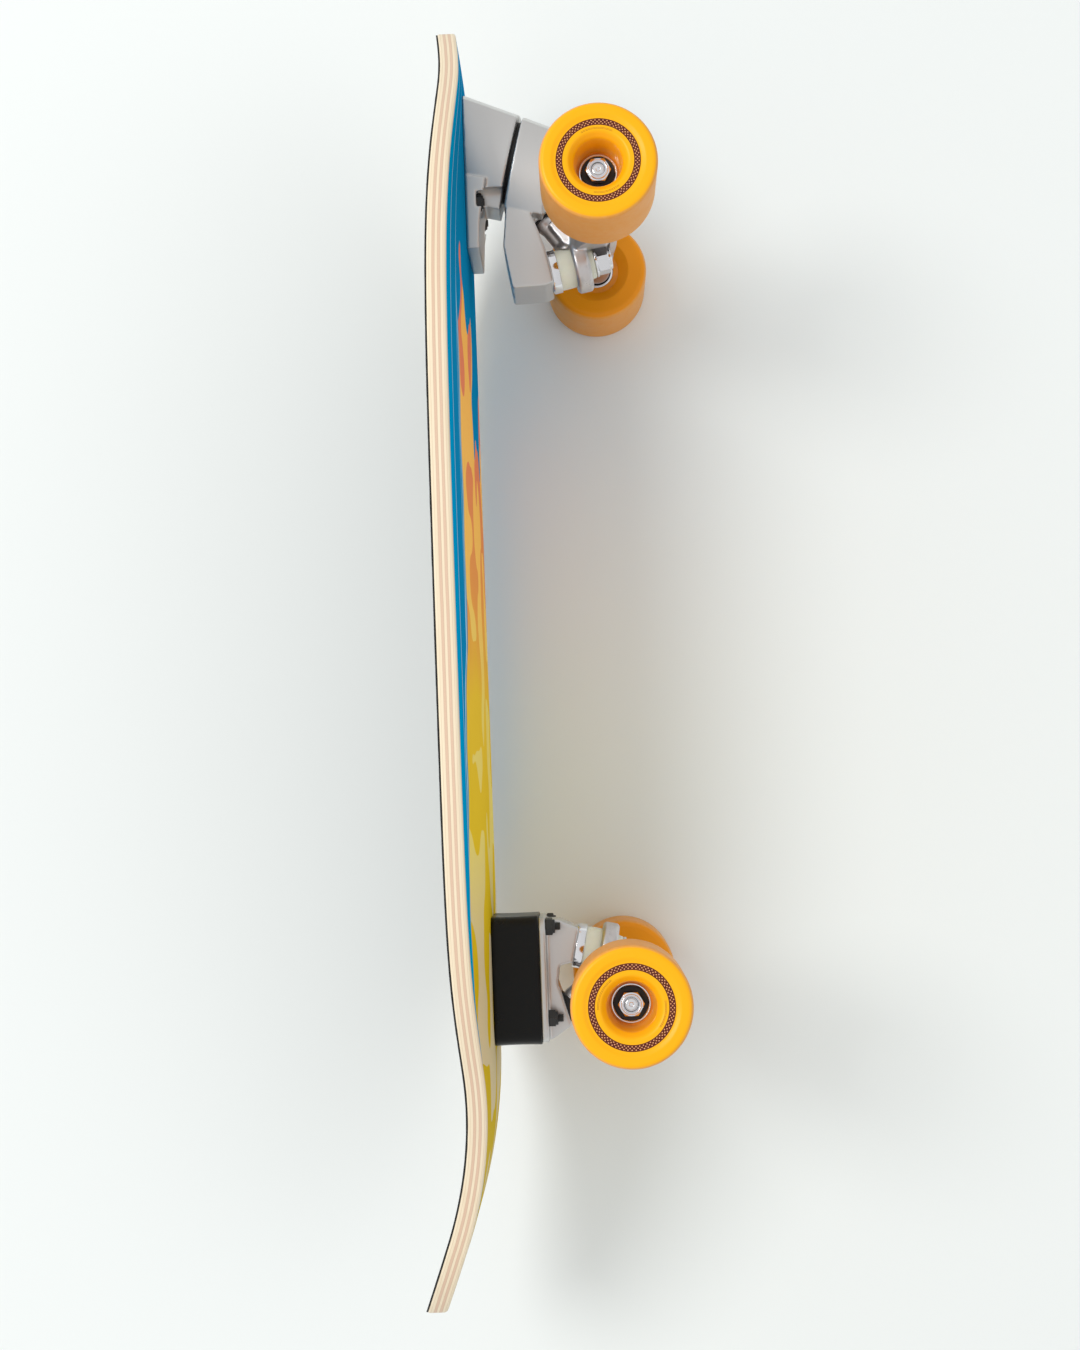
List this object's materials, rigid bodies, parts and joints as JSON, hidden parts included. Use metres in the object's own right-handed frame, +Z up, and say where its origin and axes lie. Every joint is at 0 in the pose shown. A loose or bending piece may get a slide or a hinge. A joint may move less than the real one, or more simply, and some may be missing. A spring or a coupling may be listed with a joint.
{
  "type": "surf skateboard",
  "caption": "Surf-style skateboard: curved maple deck with kicktail, sprung swivelling front truck, rear truck on a tall riser, and wide urethane wheels on ball bearings.",
  "frame": {"origin": "on the ground under the wheels, midway between the nose tip and the tail tip, on the board's centre plane", "axes": "+X towards the nose, +Y to the rider's left when facing the nose, +Z up"},
  "size_m": [0.781, 0.262, 0.1602],
  "materials": {
    "maple": "satin",
    "grip": "gritty",
    "black_steel": "satin",
    "riser": "satin",
    "cast_alloy": "tumbled",
    "black_polymer": "matt",
    "spring_steel": "satin",
    "bronze": "machined",
    "cushion": "satin",
    "bright_steel": "bright",
    "urethane": "satin",
    "core": "gloss",
    "shield": "matt"
  },
  "bodies": {
    "board": {"deck": "maple", "grip_tape": "grip", "front_deck_bolts": "black_steel", "rear_deck_bolts": "black_steel", "front_deck_nuts": "black_steel", "rear_deck_nuts": "black_steel", "riser_pad": "riser", "rear_baseplate": "cast_alloy", "adapter_base": "cast_alloy", "thrust_disc": "black_polymer", "swivel_spring": "spring_steel", "swivel_pin": "spring_steel", "swivel_nut": "spring_steel", "rear_kingpin": "bright_steel", "rear_upper_bushing": "cushion", "rear_lower_bushing": "cushion", "rear_kingpin_washers": "bright_steel", "rear_kingpin_nut": "bright_steel", "rear_pivot_cup": "black_polymer"},
    "swivel_arm": {"swivel_arm": "cast_alloy", "swivel_bush": "bronze", "front_kingpin": "bright_steel", "front_upper_bushing": "cushion", "front_lower_bushing": "cushion", "front_kingpin_washers": "bright_steel", "front_kingpin_nut": "bright_steel", "front_pivot_cup": "black_polymer"},
    "front_hanger": {"front_hanger": "cast_alloy", "front_axle": "bright_steel", "front_speed_washers": "bright_steel", "front_inner_races": "bright_steel", "front_spacers": "bright_steel", "front_axle_nuts": "bright_steel"},
    "rear_hanger": {"rear_hanger": "cast_alloy", "rear_axle": "bright_steel", "rear_speed_washers": "bright_steel", "rear_inner_races": "bright_steel", "rear_spacers": "bright_steel", "rear_axle_nuts": "bright_steel"},
    "front_left_wheel": {"front_left_tyre": "urethane", "front_left_core": "core", "front_left_outer_races": "bright_steel", "front_left_bearing_shields": "shield", "front_left_bearing_balls": "bright_steel"},
    "front_right_wheel": {"front_right_tyre": "urethane", "front_right_core": "core", "front_right_outer_races": "bright_steel", "front_right_bearing_shields": "shield", "front_right_bearing_balls": "bright_steel"},
    "rear_left_wheel": {"rear_left_tyre": "urethane", "rear_left_core": "core", "rear_left_outer_races": "bright_steel", "rear_left_bearing_shields": "shield", "rear_left_bearing_balls": "bright_steel"},
    "rear_right_wheel": {"rear_right_tyre": "urethane", "rear_right_core": "core", "rear_right_outer_races": "bright_steel", "rear_right_bearing_shields": "shield", "rear_right_bearing_balls": "bright_steel"}
  },
  "joints": [
    {"name": "swivel", "type": "hinge", "parent": "board", "child": "swivel_arm", "pos_m": [0.3074, 0, 0.0842], "axis": [0.2453, 0, 0.9694], "range_deg": [-25, 25], "stiffness_Nm_per_rad": 12},
    {"name": "front_steer", "type": "hinge", "parent": "swivel_arm", "child": "front_hanger", "pos_m": [0.2412, 0, 0.044], "axis": [0.7704, 0, 0.6376], "range_deg": [-15, 15], "stiffness_Nm_per_rad": 40, "deforming": ["front_upper_bushing", "front_lower_bushing"]},
    {"name": "rear_steer", "type": "hinge", "parent": "board", "child": "rear_hanger", "pos_m": [-0.1802, 0, 0.044], "axis": [-0.7704, 0, 0.6376], "range_deg": [-15, 15], "stiffness_Nm_per_rad": 40, "deforming": ["rear_upper_bushing", "rear_lower_bushing"]},
    {"name": "front_left_roll", "type": "hinge", "parent": "front_hanger", "child": "front_left_wheel", "pos_m": [0.2615, 0.1055, 0.033], "axis": [0, 1, 0], "continuous": true},
    {"name": "front_right_roll", "type": "hinge", "parent": "front_hanger", "child": "front_right_wheel", "pos_m": [0.2615, -0.1055, 0.033], "axis": [0, 1, 0], "continuous": true},
    {"name": "rear_left_roll", "type": "hinge", "parent": "rear_hanger", "child": "rear_left_wheel", "pos_m": [-0.2005, 0.1055, 0.033], "axis": [0, 1, 0], "continuous": true},
    {"name": "rear_right_roll", "type": "hinge", "parent": "rear_hanger", "child": "rear_right_wheel", "pos_m": [-0.2005, -0.1055, 0.033], "axis": [0, 1, 0], "continuous": true}
  ]
}
